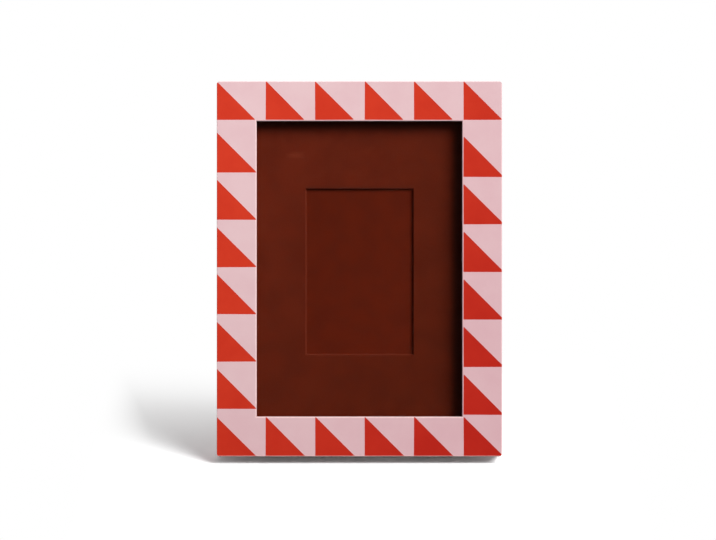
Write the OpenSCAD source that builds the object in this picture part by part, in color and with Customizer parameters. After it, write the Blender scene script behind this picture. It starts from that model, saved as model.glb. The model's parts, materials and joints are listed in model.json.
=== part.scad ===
// A standing picture frame: four mitred fibreboard rails under a pink resin face that is inlaid
// with red triangles, a glazed picture pack, and a lined back board with an easel leg.
// Every piece is drawn upright, with the face at y = 0, the back towards +y and the bottom at
// z = 0. stand() then leans it back until its rear bottom edge rests on the table.

/* [Frame] */
// Width of the opening that shows the picture
sight_w = 120; // [95:0.5:200]
// Height of the opening that shows the picture
sight_h = 172.4; // [150:0.2:260]
// Width of a rail, seen from the front
rail_w = 23.1; // [20:0.1:32]
// Depth of the frame from face to back
frame_t = 18; // [15:0.1:24]
// How far a rail's lip covers the edge of the glass
lip_w = 4; // [3:0.1:6]
// Thickness of that lip, with the resin face
lip_t = 5; // [3.6:0.1:6]
// Rounding of the outer back edges
edge_r = 0.8; // [0.3:0.05:1.2]
// Rounding of the four outer corners
corner_r = 1.8; // [0.5:0.1:4]
// How far the frame leans back, in degrees
lean = 17; // [10:0.5:18]

/* [Resin face] */
// Thickness of the resin face and of the triangles let into it
face_t = 1.6; // [1.3:0.1:2.4]
// Rounding of the face's edges, along the outside and along the opening
face_r = 0.4; // [0.2:0.05:0.8]
// How far the triangles ran past the outer edge before the face was trimmed to its outline
tile_over = 0.3; // [0.2:0.05:0.6]
// Pink left at a triangle's point, so that the face stays one piece
tile_point_gap = 0.2; // [0.15:0.05:0.3]
// How wide the triangles' points are blunted
tile_blunt = 0.5; // [0.1:0.1:1.5]
// Flat pink left between a triangle's side and the rounded edge of the opening
tile_inner_gap = 0.25; // [0.1:0.05:1]
// Least pink between two triangles of the top and bottom rows
row_space = 4.6; // [4:0.1:10]
// Least pink between two triangles of the left and right columns
column_space = 3.6; // [3:0.1:10]
// Pink between the bottom row and the lowest triangle on the left
left_low_space = 4.9; // [1:0.1:9]
// Pink between the bottom row and the lowest triangle on the right
right_low_space = 1.5; // [1:0.1:9]
// Pink between the top row and the highest triangle on the left
left_high_space = 7.5; // [1:0.1:12]
// Pink between the top row and the highest triangle on the right
right_high_space = 10; // [1:0.1:14]
// How far a triangle, set by hand, may lie off its true place
hand_slip = 0.08; // [0:0.02:0.2]
// How far it may be turned, in degrees
hand_turn = 0.3; // [0:0.1:0.6]

/* [Corner nails] */
// Length of each wing of a corner nail
nail_wing = 5; // [3:0.1:7]
// Height of a corner nail, driven in from the back
nail_h = 8; // [5:0.1:10]
// Thickness of its steel
nail_t = 0.6; // [0.4:0.05:1]
// Distance of a corner's first nail from the two outer sides
nail_inset = 3.5; // [2.5:0.1:5]
// Step from the first nail to the second, along each side
nail_step = 7; // [3:0.1:8]

/* [Picture pack] */
// Thickness of the glass
glass_t = 2; // [1.6:0.1:2.4]
// Thickness of the mat board
mat_t = 1.4; // [1:0.1:2]
// Thickness of the card that shows through the mat's window
card_t = 0.6; // [0.3:0.1:1]
// Thickness of the back board
board_t = 3; // [2.5:0.1:3.6]
// Thickness of the lining glued to the back board
lining_t = 0.5; // [0.3:0.05:0.8]
// How far the lining lies below the back of the rails
back_gap = 0.1; // [0.05:0.05:0.5]
// Free play of the pack at each side
side_play = 0.4; // [0.3:0.1:1.5]
// Free play above the pack, which stands on the bottom rail
top_play = 2.2; // [0.5:0.1:3]
// How far the glass, mat and card have slipped to the right
pack_slip = 0.1; // [-0.3:0.1:0.3]
// Width of the mat's window at its front
window_w = 63.4; // [40:0.2:80]
// Height of the mat's window at its front
window_h = 97.6; // [60:0.2:120]
// How far the window is cut below the middle of the mat
window_drop = 0.6; // [0:0.1:3]
// How far the window's cut edge slopes in to the back
bevel_w = 0.8; // [0.3:0.1:1.5]

/* [Turn buttons] */
// Thickness of a turn button
button_t = 0.8; // [0.6:0.1:1.2]
// Radius of its round end, which turns on the screw
button_r = 4.6; // [3.8:0.1:5]
// Radius of its tip
button_tip_r = 2.8; // [2:0.1:3.2]
// Distance from the screw to the centre of the tip
button_l = 9.2; // [8:0.1:9.8]
// Distance from the rebate to the screw
screw_inset = 5.6; // [5:0.1:6]
// Height of the lower turn buttons above the bottom of the frame
button_low_z = 56; // [40:1:80]
// Distance of the upper turn buttons below the top of the frame
button_high_drop = 56; // [40:1:80]
// Radius of a screw's shank
screw_r = 1.3; // [1:0.05:1.5]
// Length of a screw below its head
screw_l = 9; // [6:0.1:10]
// Radius of a screw's head
screw_head_r = 2.9; // [2.6:0.1:3.4]
// Height of a screw's head
screw_head_h = 1.5; // [1.2:0.1:1.8]
// Running clearance of a turn button round the screw, and at each side of it
button_play = 0.06; // [0.02:0.01:0.1]

/* [Easel] */
// Angle between the open leg and the back board, in degrees
open_angle = 28; // [25:0.5:32]
// Height of the hinge pin above the bottom of the frame
hinge_z = 150; // [120:1:165]
// Width of the leg at its top
leg_top_w = 33; // [32:0.5:40]
// Width of the leg at its foot
leg_foot_w = 46; // [40:1:60]
// Thickness of the leg
leg_t = 2.8; // [2:0.1:3.3]
// Gap between the top of the leg and the hinge's knuckles
leg_top_gap = 0.6; // [0.4:0.1:1.5]
// Length of the hinge along its pin
hinge_w = 30; // [26:1:32]
// Thickness of the hinge's sheet metal
plate_t = 0.8; // [0.6:0.05:1]
// Outer radius of the hinge's knuckles
knuckle_r = 2.2; // [2:0.05:2.5]
// Gap between the leg's knuckles and the lining
knuckle_lift = 0.4; // [0.3:0.05:0.6]
// Length of the middle knuckle, which belongs to the board's plate
mid_knuckle_w = 12; // [8:0.5:14]
// Gap between two knuckles
knuckle_gap = 0.35; // [0.3:0.05:0.6]
// Radius of the hinge pin
pin_r = 0.9; // [0.7:0.05:1]
// Running clearance of the leg's knuckles round the pin
pin_play = 0.05; // [0.02:0.01:0.08]
// Thickness of the pin's heads
pin_head_t = 0.5; // [0.3:0.05:1]
// Distance from the pin to the upper end of the board's plate
board_plate_l = 21; // [19:0.5:26]
// Distance from the pin to the lower end of the leg's plate
leg_plate_l = 24; // [20:0.5:30]
// Rounding of the plates' corners
plate_corner_r = 2; // [0.5:0.1:3]
// Gap between the leg's two heels and the board's plate, with the leg open
heel_gap = 0.05; // [0.02:0.01:0.1]
// Radius of a rivet's shank
rivet_r = 1.1; // [0.8:0.05:1.3]
// Radius of a rivet's head
rivet_head_r = 2.1; // [1.9:0.05:2.3]
// Height of a rivet's head
rivet_head_h = 0.8; // [0.5:0.05:1]

/* [Hidden] */
$fn = 64;

// Extra length of a solid that cuts cleanly through another
cut = 1;

// Overall size of the frame, and the rebate behind the lip
frame_w = sight_w + 2 * rail_w;
frame_h = sight_h + 2 * rail_w;
rebate_w = sight_w + 2 * lip_w;
rebate_h = sight_h + 2 * lip_w;
rebate_z = rail_w - lip_w;

// The picture pack, from the glass backwards. The filler takes up the depth that is left.
pack_w = rebate_w - 2 * side_play;
pack_h = rebate_h - top_play;
glass_y = lip_t;
mat_y = glass_y + glass_t;
card_y = mat_y + mat_t;
filler_y = card_y + card_t;
board_back = frame_t - back_gap;
lining_y = board_back - lining_t;
board_y = lining_y - board_t;

// The triangles: their equal sides, and where each row and column starts and ends
inner_margin = face_r + tile_inner_gap;
tile = rail_w + tile_over - tile_point_gap;
top_tile = rail_w - inner_margin - tile_point_gap;
row_x = -frame_w / 2 - tile_over;
right_x = sight_w / 2 + inner_margin;
row_w = right_x + tile - row_x;
top_row_w = right_x + top_tile - row_x;
top_row_z = frame_h - rail_w + inner_margin;
bottom_row_z = -tile_over;
bottom_row_top = bottom_row_z + tile;
left_low_z = bottom_row_top + left_low_space;
right_low_z = bottom_row_top + right_low_space;
left_column_h = top_row_z - left_high_space - left_low_z;
right_column_h = top_row_z - right_high_space - right_low_z;

// Each corner's sides, as signs of x and z, and the turn that points a nail's wings inwards
corners = [[-1, -1, 0], [1, -1, 90], [1, 1, 180], [-1, 1, 270]];

// Turn buttons and their screws. Each screw's head has a cross cut into it.
screw_x = rebate_w / 2 + screw_inset;
screw_z = [button_low_z, frame_h - button_high_drop];
button_y = frame_t + button_play;
head_y = button_y + button_t + button_play;
cross_l = 1.25 * screw_head_r;
cross_w = 0.24 * screw_head_r;
cross_d = 0.5 * screw_head_h;

// Distances from the hinge pin: to the back of the board's plate, and, with the leg folded
// flat, to the back of the leg, to the top of the leg and to the tips of the heels
board_drop = knuckle_r + knuckle_lift - plate_t;
leg_back = knuckle_r - plate_t;
leg_top = knuckle_r + leg_top_gap;
heel_l = (leg_back * cos(open_angle) + board_drop - heel_gap) / sin(open_angle);
hinge_y = board_back + knuckle_lift + knuckle_r;
side_knuckle_w = (hinge_w - mid_knuckle_w) / 2 - knuckle_gap;
side_knuckle_x = (hinge_w - side_knuckle_w) / 2;
pin_head_r = 1.5 * pin_r;

// Three rivets hold each plate: two near its far corners, one in the middle near the pin
rivet_edge = 1.9 * rivet_head_r;
rivet_x = hinge_w / 2 - rivet_edge;
board_rivet_near = knuckle_r + 2.2 * rivet_head_r;
leg_rivet_near = leg_top + 2.2 * rivet_head_r;

// Where the leaning frame stands: the lift puts its rear bottom edge on the table, and the
// whole object, from the frame's front to the back of the leg or of the frame, is centred on y = 0
lift = (frame_t - edge_r) * sin(lean) - edge_r * cos(lean) + edge_r;
leg_slope = open_angle - lean;
pin_stand_y = hinge_y * cos(lean) + hinge_z * sin(lean);
pin_stand_z = hinge_z * cos(lean) - hinge_y * sin(lean) + lift;
foot_back = pin_stand_y + pin_stand_z * tan(leg_slope) + leg_back / cos(leg_slope);
top_back = (frame_t - edge_r) * cos(lean) + (frame_h - edge_r) * sin(lean) + edge_r;
front = face_r * (cos(lean) + sin(lean) - 1);
stand_y = -(front + max(foot_back, top_back)) / 2;
leg_raw_l = pin_stand_z / cos(leg_slope) + 2 * leg_t;

// Colours
pink = [0.92, 0.75, 0.78];
red = [0.84, 0.21, 0.13];
maroon = [0.36, 0.11, 0.07];
board_brown = [0.55, 0.40, 0.27];
lining_brown = [0.27, 0.10, 0.08];
glass_grey = [0.85, 0.92, 0.92, 0.25];
steel = [0.75, 0.74, 0.72];

// Moves a piece that is drawn upright to its place in the standing frame
module stand() {
    translate([0, stand_y, lift])
        rotate([-lean, 0, 0])
            children();
}

// Moves a piece that is drawn about the hinge pin to the hinge
module at_pin() {
    stand()
        translate([0, hinge_y, hinge_z])
            children();
}

// The same for the leg's pieces, which are drawn folded flat and swing out to the open angle
module opened() {
    at_pin()
        rotate([open_angle, 0, 0])
            children();
}

// Extrudes a shape drawn in x and z from depth y backwards to a thickness t
module layer(y, t) {
    translate([0, y + t, 0])
        rotate([90, 0, 0])
            linear_extrude(t)
                children();
}

// A round bar from depth y backwards
module bar_y(r, y, l) {
    translate([0, y, 0])
        rotate([-90, 0, 0])
            cylinder(r = r, h = l);
}

// A round bar along x, centred
module bar_x(r, l) {
    rotate([0, 90, 0])
        cylinder(r = r, h = l, center = true);
}

// A domed head of radius r and height h on the surface at depth y
module dome(r, h, y) {
    dome_r = (r * r + h * h) / (2 * h);
    translate([0, y, 0])
        rotate([-90, 0, 0])
            rotate_extrude()
                intersection() {
                    translate([0, h - dome_r])
                        circle(dome_r);
                    square([r, h]);
                }
}

// A rectangle w wide from z0 up to z1 with rounded corners
module rounded_plate(w, z0, z1, r) {
    translate([-w / 2 + r, z0])
        square([w - 2 * r, z1 - z0]);
    translate([-w / 2, z0 + r])
        square([w, z1 - z0 - 2 * r]);
    for (x = [-1, 1])
        for (z = [z0 + r, z1 - r])
            translate([x * (w / 2 - r), z])
                circle(r);
}

// A length l of moulding along x, mitred at both ends, from a section drawn in y and z
module moulding(l) {
    intersection() {
        translate([-l / 2, 0, 0])
            rotate([90, 0, 90])
                linear_extrude(l)
                    children();
        layer(-cut, frame_t + 2 * cut)
            polygon([[-l / 2, 0], [l / 2, 0], [l / 2 - rail_w, rail_w], [-l / 2 + rail_w, rail_w]]);
    }
}

// Puts a moulding drawn along the bottom at one of the four sides
module at_side(side) {
    turn = side == "top" ? 180 : side == "left" ? 90 : side == "right" ? -90 : 0;
    place = side == "top" ? [0, 0, frame_h]
          : side == "left" ? [-frame_w / 2, 0, frame_h / 2]
          : side == "right" ? [frame_w / 2, 0, frame_h / 2]
          : [0, 0, 0];
    translate(place)
        rotate([0, turn, 0])
            children();
}

// A rail's section behind the resin face, with the rebate and a rounded outer back edge
module rail_section() {
    difference() {
        translate([face_t, 0])
            square([frame_t - face_t, rail_w]);
        translate([lip_t, rail_w - lip_w])
            square([frame_t, lip_w + cut]);
        translate([frame_t - edge_r, -cut])
            square([edge_r + cut, edge_r + cut]);
    }
    translate([frame_t - edge_r, edge_r])
        circle(edge_r);
}

// The resin face's section, rounded along the outside and along the opening
module face_section() {
    translate([face_r, 0])
        square([face_t - face_r, rail_w]);
    translate([0, face_r])
        square([face_t, rail_w - 2 * face_r]);
    for (z = [face_r, rail_w - face_r])
        translate([face_r, z])
            circle(face_r);
}

// Trims mouldings to the frame's outline, which has rounded corners
module trimmed() {
    intersection() {
        children();
        layer(-cut, frame_t + 2 * cut)
            rounded_plate(frame_w, 0, frame_h, corner_r);
    }
}

// Bent nails across the mitres, two at each corner, with their tops flush with the back
module nails(extra) {
    for (c = corners)
        for (d = [nail_inset, nail_inset + nail_step])
            layer(frame_t - nail_h, nail_h + extra)
                translate([c[0] * (frame_w / 2 - d), frame_h / 2 + c[1] * (frame_h / 2 - d)])
                    rotate(c[2])
                        bent_nail();
}

// A corner nail's section, with its bend at the centre and its wings along +x and +z
module bent_nail() {
    square([nail_wing, nail_t]);
    square([nail_t, nail_wing]);
}

// Repeats a piece at the four screws
module at_screws() {
    for (x = [-screw_x, screw_x])
        for (z = screw_z)
            translate([x, 0, z])
                children();
}

module screw_shank(extra) {
    bar_y(screw_r, head_y - screw_l, screw_l + extra);
}

// One of the four rails, with room for the nails and screws
module rail(side) {
    l = side == "top" || side == "bottom" ? frame_w : frame_h;
    color(pink)
        stand()
            difference() {
                trimmed()
                    at_side(side)
                        moulding(l)
                            rail_section();
                nails(cut);
                at_screws()
                    screw_shank(cut);
            }
}

module top_rail() {
    rail("top");
}

module bottom_rail() {
    rail("bottom");
}

module left_rail() {
    rail("left");
}

module right_rail() {
    rail("right");
}

module corner_nails() {
    color(steel)
        stand()
            nails(0);
}

// A flat ring between a margin m inside the frame's outline and the same margin round the opening
module ring(m) {
    difference() {
        translate([m - frame_w / 2, m])
            square([frame_w - 2 * m, frame_h - 2 * m]);
        translate([-sight_w / 2 - m, rail_w - m])
            square([sight_w + 2 * m, sight_h + 2 * m]);
    }
}

// The whole face before the triangles are let in. It is poured in one piece: the two rings run
// through the mitres of the four rounded mouldings.
module face_blank() {
    trimmed() {
        for (side = ["bottom", "top", "left", "right"])
            at_side(side)
                moulding(side == "top" || side == "bottom" ? frame_w : frame_h)
                    face_section();
        layer(face_r, face_t - face_r)
            ring(0);
        layer(0, face_t)
            ring(face_r);
    }
}

// A row of triangles with two equal sides, the first with its right angle at x, z, evenly spaced
// in the length l along the direction [dx, dz]. Each lies a little off its place, in a way that
// the seed varies.
module tiles(side, x, z, l, dx, dz, space, seed) {
    count = floor((l + space) / (side + space));
    step = (l - side) / max(1, count - 1);
    layer(-cut, face_t + 2 * cut)
        for (i = [0 : count - 1])
            let (along = i * step + hand_slip * sin(137 * i + seed), turn = hand_turn * sin(211 * i + seed))
                translate([x + dx * along + side / 2, z + dz * along + side / 2])
                    rotate(turn)
                        translate([-side / 2, -side / 2])
                            polygon([[0, 0], [side, 0], [side, tile_blunt], [tile_blunt, side], [0, side]]);
}

module top_tiles() {
    tiles(top_tile, row_x, top_row_z, top_row_w, 1, 0, row_space, 40);
}

module bottom_tiles() {
    tiles(tile, row_x, bottom_row_z, row_w, 1, 0, row_space, 110);
}

module left_tiles() {
    tiles(tile, row_x, left_low_z, left_column_h, 0, 1, column_space, 200);
}

module right_tiles() {
    tiles(tile, right_x, right_low_z, right_column_h, 0, 1, column_space, 290);
}

module resin_face() {
    color(pink)
        stand()
            difference() {
                face_blank();
                top_tiles();
                bottom_tiles();
                left_tiles();
                right_tiles();
            }
}

// The triangles are as thick as the face and flush with it
module inlay() {
    color(red)
        stand()
            intersection() {
                face_blank();
                children();
            }
}

module top_inlay() {
    inlay()
        top_tiles();
}

module bottom_inlay() {
    inlay()
        bottom_tiles();
}

module left_inlay() {
    inlay()
        left_tiles();
}

module right_inlay() {
    inlay()
        right_tiles();
}

// A sheet of the pack, standing on the bottom rail, with its centre at x
module pack_sheet(x, y, t) {
    layer(y, t)
        translate([x - pack_w / 2, rebate_z])
            square([pack_w, pack_h]);
}

module glass_pane() {
    color(glass_grey)
        stand()
            pack_sheet(pack_slip, glass_y, glass_t);
}

// Half the size of the mat's window, of half size w at its front, at depth y into the mat
function window_half(w, y) = w - y * bevel_w / mat_t;

// The mat's window, which narrows to the back by the same slope at all four edges
module window() {
    y0 = -cut;
    y1 = mat_t + cut;
    x0 = window_half(window_w / 2, y0);
    x1 = window_half(window_w / 2, y1);
    z0 = window_half(window_h / 2, y0);
    z1 = window_half(window_h / 2, y1);
    intersection() {
        linear_extrude(2 * z0, center = true)
            polygon([[-x0, y0], [x0, y0], [x1, y1], [-x1, y1]]);
        rotate([90, 0, 90])
            linear_extrude(2 * x0, center = true)
                polygon([[y0, -z0], [y1, -z1], [y1, z1], [y0, z0]]);
    }
}

module mat_board() {
    color(maroon)
        stand()
            difference() {
                pack_sheet(pack_slip, mat_y, mat_t);
                translate([pack_slip, mat_y, rebate_z + pack_h / 2 - window_drop])
                    window();
            }
}

module insert_card() {
    color(maroon)
        stand()
            pack_sheet(pack_slip, card_y, card_t);
}

module filler_board() {
    color(board_brown)
        stand()
            pack_sheet(0, filler_y, board_y - filler_y);
}

// Holes of the rivets that hold the hinge to the back board
module board_rivet_holes() {
    translate([0, hinge_y, hinge_z])
        at_board_rivets()
            board_rivet_shank(cut);
}

module back_board() {
    color(board_brown)
        stand()
            difference() {
                pack_sheet(0, board_y, board_t);
                board_rivet_holes();
            }
}

module board_lining() {
    color(lining_brown)
        stand()
            difference() {
                pack_sheet(0, lining_y, lining_t);
                board_rivet_holes();
            }
}

module button_screws() {
    color(steel)
        stand()
            at_screws() {
                screw_shank(0);
                difference() {
                    dome(screw_head_r, screw_head_h, head_y);
                    for (turn = [0, 90])
                        rotate([0, turn, 0])
                            translate([-cross_l / 2, head_y + screw_head_h - cross_d, -cross_w / 2])
                                cube([cross_l, cross_d + cut, cross_w]);
                }
            }
}

// A turn button's outline: two round ends joined by the lines that touch both
module button_outline() {
    a = acos((button_r - button_tip_r) / button_l);
    circle(button_r);
    translate([button_l, 0])
        circle(button_tip_r);
    polygon([
        button_r * [cos(a), sin(a)],
        button_r * [cos(a), -sin(a)],
        [button_l, 0] + button_tip_r * [cos(a), -sin(a)],
        [button_l, 0] + button_tip_r * [cos(a), sin(a)]
    ]);
}

// A turn button on its screw, with its tip over the back board
module turn_button(side, z) {
    color(steel)
        stand()
            translate([side * screw_x, 0, z])
                layer(button_y, button_t)
                    rotate(side > 0 ? 180 : 0)
                        difference() {
                            button_outline();
                            circle(screw_r + button_play);
                        }
}

module upper_left_button() {
    turn_button(-1, screw_z[1]);
}

module upper_right_button() {
    turn_button(1, screw_z[1]);
}

module lower_left_button() {
    turn_button(-1, screw_z[0]);
}

module lower_right_button() {
    turn_button(1, screw_z[0]);
}

// Repeats a rivet at its three places, far and near along the plate, above or below the pin
module at_rivets(far, near) {
    for (p = [[-rivet_x, far], [rivet_x, far], [0, near]])
        translate([p.x, 0, p.y])
            children();
}

module at_board_rivets() {
    at_rivets(board_plate_l - rivet_edge, board_rivet_near)
        children();
}

module at_leg_rivets() {
    at_rivets(rivet_edge - leg_plate_l, -leg_rivet_near)
        children();
}

module board_rivet_shank(extra) {
    l = plate_t + lining_t + board_t;
    bar_y(rivet_r, -board_drop - l - extra, l + 2 * extra);
}

module leg_rivet_shank(extra) {
    l = plate_t + leg_t;
    bar_y(rivet_r, knuckle_r - l - extra, l + 2 * extra);
}

module board_plate() {
    plate_low = knuckle_r + knuckle_gap;
    color(steel)
        at_pin()
            difference() {
                union() {
                    layer(-board_drop - plate_t, plate_t) {
                        rounded_plate(hinge_w, plate_low, board_plate_l, plate_corner_r);
                        translate([-mid_knuckle_w / 2, 0])
                            square([mid_knuckle_w, plate_low + plate_corner_r]);
                    }
                    bar_x(knuckle_r, mid_knuckle_w);
                }
                bar_x(pin_r, mid_knuckle_w + 2 * cut);
                at_board_rivets()
                    board_rivet_shank(cut);
            }
}

module hinge_pin() {
    pin_l = hinge_w + 2 * knuckle_gap;
    color(steel)
        at_pin() {
            bar_x(pin_r, pin_l + pin_head_t);
            for (x = [-1, 1])
                translate([x * (pin_l + pin_head_t) / 2, 0, 0])
                    bar_x(pin_head_r, pin_head_t);
        }
}

module board_rivets() {
    color(steel)
        at_pin()
            at_board_rivets() {
                board_rivet_shank(0);
                dome(rivet_head_r, rivet_head_h, -board_drop);
            }
}

// The leg is cut level where it meets the table
module easel_leg() {
    color(lining_brown)
        difference() {
            opened()
                difference() {
                    layer(leg_back - leg_t, leg_t)
                        polygon([
                            [-leg_top_w / 2, -leg_top],
                            [leg_top_w / 2, -leg_top],
                            [leg_foot_w / 2, -leg_raw_l],
                            [-leg_foot_w / 2, -leg_raw_l]
                        ]);
                    at_leg_rivets()
                        leg_rivet_shank(cut);
                }
            translate([-leg_foot_w, 0, -2 * leg_raw_l])
                cube([2 * leg_foot_w, 2 * leg_raw_l, 2 * leg_raw_l]);
        }
}

// The leg's plate has two knuckles. Above each, a heel meets the board's plate and so stops
// the leg at its open angle.
module leg_plate() {
    slot_w = mid_knuckle_w + 2 * knuckle_gap;
    slot_z = -knuckle_r - knuckle_gap;
    color(steel)
        opened()
            difference() {
                union() {
                    layer(leg_back, plate_t)
                        difference() {
                            rounded_plate(hinge_w, -leg_plate_l, heel_l + plate_corner_r, plate_corner_r);
                            translate([-hinge_w / 2 - cut, heel_l])
                                square([hinge_w + 2 * cut, plate_corner_r + cut]);
                            translate([-slot_w / 2, slot_z])
                                square([slot_w, heel_l - slot_z + cut]);
                        }
                    for (x = [-side_knuckle_x, side_knuckle_x])
                        translate([x, 0, 0])
                            bar_x(knuckle_r, side_knuckle_w);
                }
                bar_x(pin_r + pin_play, hinge_w + 2 * cut);
                at_leg_rivets()
                    leg_rivet_shank(cut);
            }
}

module leg_rivets() {
    color(steel)
        opened()
            at_leg_rivets() {
                leg_rivet_shank(0);
                dome(rivet_head_r, rivet_head_h, knuckle_r);
            }
}

top_rail();
bottom_rail();
left_rail();
right_rail();
corner_nails();
resin_face();
top_inlay();
bottom_inlay();
left_inlay();
right_inlay();
glass_pane();
mat_board();
insert_card();
filler_board();
back_board();
board_lining();
button_screws();
upper_left_button();
upper_right_button();
lower_left_button();
lower_right_button();
board_plate();
hinge_pin();
board_rivets();
easel_leg();
leg_plate();
leg_rivets();
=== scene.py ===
# %% [markdown]
# # A standing picture frame with an inlaid resin face
# The solids of this frame already have their true sizes and places, so this lesson doesn't model them
# again. It gives each of them the finish of the real piece, adds the soft edges that a saw and a
# roller leave, and lights the whole as a studio would. Every length is in metres.

import json
import math

import bpy
import numpy as np
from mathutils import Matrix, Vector


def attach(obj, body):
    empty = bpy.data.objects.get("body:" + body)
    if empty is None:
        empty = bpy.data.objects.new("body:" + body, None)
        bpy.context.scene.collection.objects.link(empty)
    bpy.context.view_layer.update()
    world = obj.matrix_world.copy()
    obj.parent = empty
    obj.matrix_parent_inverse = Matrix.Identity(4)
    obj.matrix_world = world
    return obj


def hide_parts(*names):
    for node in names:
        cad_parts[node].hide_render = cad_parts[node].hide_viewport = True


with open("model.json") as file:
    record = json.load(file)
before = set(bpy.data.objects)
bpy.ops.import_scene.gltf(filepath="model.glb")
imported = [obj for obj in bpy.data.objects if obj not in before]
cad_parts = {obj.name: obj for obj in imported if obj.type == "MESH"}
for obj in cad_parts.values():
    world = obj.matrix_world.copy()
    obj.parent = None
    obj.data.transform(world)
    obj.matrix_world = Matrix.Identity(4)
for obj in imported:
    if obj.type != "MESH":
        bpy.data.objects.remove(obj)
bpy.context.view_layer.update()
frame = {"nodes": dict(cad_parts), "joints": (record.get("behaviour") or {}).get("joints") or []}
solids = frame["nodes"]
print("solids loaded:", len(solids))

# %% [markdown]
# ## The frame's own axes
# The frame leans back on its easel leg, but its maker worked on it lying flat on a bench. Patterns
# such as grain and wear belong to that bench position: x runs across the frame, y from its face to
# its back and z from its bottom to its top. A turn about X by the lean brings every point back to it.
# The turn buttons tell the lean, because their axes stand square to the frame's back.

# %% Turn points between the table and the bench
joints = {joint["name"]: joint for joint in frame["joints"]}
button_axis = joints["upper_left_turn"]["axis"]
LEAN = math.atan2(-button_axis[2], button_axis[1])
LEG_OPENING = -math.radians(joints["leg_fold"]["range_deg"][0])
LEG_LEAN = LEAN - LEG_OPENING
print("lean of the frame in degrees:", round(math.degrees(LEAN), 2))
print("lean of its leg in degrees:", round(math.degrees(LEG_LEAN), 2))


def stood_up(points, lean):
    """Bench points turned to their standing places: y' = y cos + z sin, z' = z cos - y sin.
    A lean with its sign changed turns standing points back to the bench."""
    x, y, z = np.moveaxis(points, -1, 0)
    back = y * math.cos(lean) + z * math.sin(lean)
    up = z * math.cos(lean) - y * math.sin(lean)
    return np.stack([x, back, up], -1)


def points_of(name, lean):
    """A solid's corners, turned back to the bench."""
    mesh = solids[name].data
    flat = np.empty(3 * len(mesh.vertices), np.float32)
    mesh.vertices.foreach_get("co", flat)
    return stood_up(flat.reshape(-1, 3).astype(float), -lean)


def corners_of(names, lean):
    """Lowest and highest corner of the box round some solids, turned back to the bench."""
    points = np.concatenate([points_of(name, lean) for name in names])
    return points.min(0), points.max(0)


RAILS = ["top_rail", "bottom_rail", "left_rail", "right_rail"]
body_low, body_high = corners_of([*RAILS, "resin_face"], LEAN)
frame_foot = np.array([0.0, body_low[1], body_low[2]])
frame_size = body_high - body_low
print("frame across, deep and high in mm:", (1000 * frame_size).round(2))

# %% [markdown]
# ## The camera
# The photographer stood square to the face, which leans back, so the camera looks down by the same
# angle. The picture shows almost no narrowing towards the top, so the lens is long and stands well
# back. The face's middle lies a little beside the picture's, so the camera aims that much beside it.

# %% Place the camera square to the face
PICTURE_WIDE = 716
PICTURE_HIGH = 540
FACE_PIXELS = 285.3
FACE_MIDDLE = (359.4, 268.95)
CAMERA_AWAY = 1.5
SENSOR = 36.0
SEES_FROM = 0.05
SEES_TO = 50

across = Vector((1, 0, 0))
up_face = Vector((0, math.sin(LEAN), math.cos(LEAN)))
out_of_face = Vector((0, -math.cos(LEAN), math.sin(LEAN)))


def from_bench(x, y, z):
    """The standing place of a point that is measured on the bench from the frame's foot."""
    return Vector(stood_up(np.array([x, y, z]) + frame_foot, LEAN))


face_middle = from_bench(0, 0, frame_size[2] / 2)
pixel = frame_size[0] / FACE_PIXELS
aim = face_middle + across * (PICTURE_WIDE / 2 - FACE_MIDDLE[0]) * pixel
aim = aim + up_face * (FACE_MIDDLE[1] - PICTURE_HIGH / 2) * pixel
camera_data = bpy.data.cameras.new("long_lens")
camera_data.sensor_width = SENSOR
camera_data.lens = SENSOR * CAMERA_AWAY / (PICTURE_WIDE * pixel)
camera_data.clip_start = SEES_FROM
camera_data.clip_end = SEES_TO
camera = bpy.data.objects.new("camera", camera_data)
bpy.context.scene.collection.objects.link(camera)
camera.location = aim + out_of_face * CAMERA_AWAY
camera.rotation_mode = "QUATERNION"
camera.rotation_quaternion = (-out_of_face).to_track_quat("-Z", "Y")
bpy.context.scene.camera = camera
bpy.context.scene.view_settings.view_transform = "Standard"
print("lens in mm:", round(camera_data.lens, 1))

# %% [markdown]
# ## Colours and nodes
# A material is a tree of small nodes, each of which does one thing to a number, a vector or a colour.
# The helpers here add one node each and link it to the ones before, so that a finish reads as a list
# of steps. Colours are written as on a paint chart, from 0 to 255, and a mask is a share from 0 to 1.
# The Mix node has a pair of inputs for each kind of value, so its colours are picked by number.

# %% Helpers for nodes
WHITE = (1.0, 1.0, 1.0, 1.0)
MIX_SHARE = 0
MIX_FIRST_COLOUR = 6
MIX_SECOND_COLOUR = 7
MIX_RESULT = 2


def srgb(red, green, blue):
    """A paint chart's colour as light: c / 12.92 where it is dark, else ((c + 0.055) / 1.055)^2.4."""
    chart = np.array([red, green, blue]) / 255
    light = np.where(chart <= 0.04045, chart / 12.92, ((chart + 0.055) / 1.055) ** 2.4)
    return (*light.tolist(), 1.0)


def fill(tree, made, inputs):
    """Fills a node's inputs, by number or by name: a socket is linked, and a plain value is set."""
    for key, value in dict(inputs).items():
        if isinstance(value, bpy.types.NodeSocket):
            tree.links.new(value, made.inputs[key])
        else:
            made.inputs[key].default_value = value


def node(tree, kind, inputs=(), **settings):
    """Adds one node, sets its properties and fills its inputs."""
    made = tree.nodes.new(kind)
    for key, value in settings.items():
        setattr(made, key, value)
    fill(tree, made, inputs)
    return made


def maths(tree, operation, *values, clamp=False):
    """One arithmetic step on numbers or sockets; the result's socket."""
    settings = {"operation": operation, "use_clamp": clamp}
    return node(tree, "ShaderNodeMath", enumerate(values), **settings).outputs[0]


def rest_of(tree, share):
    """What a share leaves of 1."""
    return maths(tree, "SUBTRACT", 1.0, share)


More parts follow.
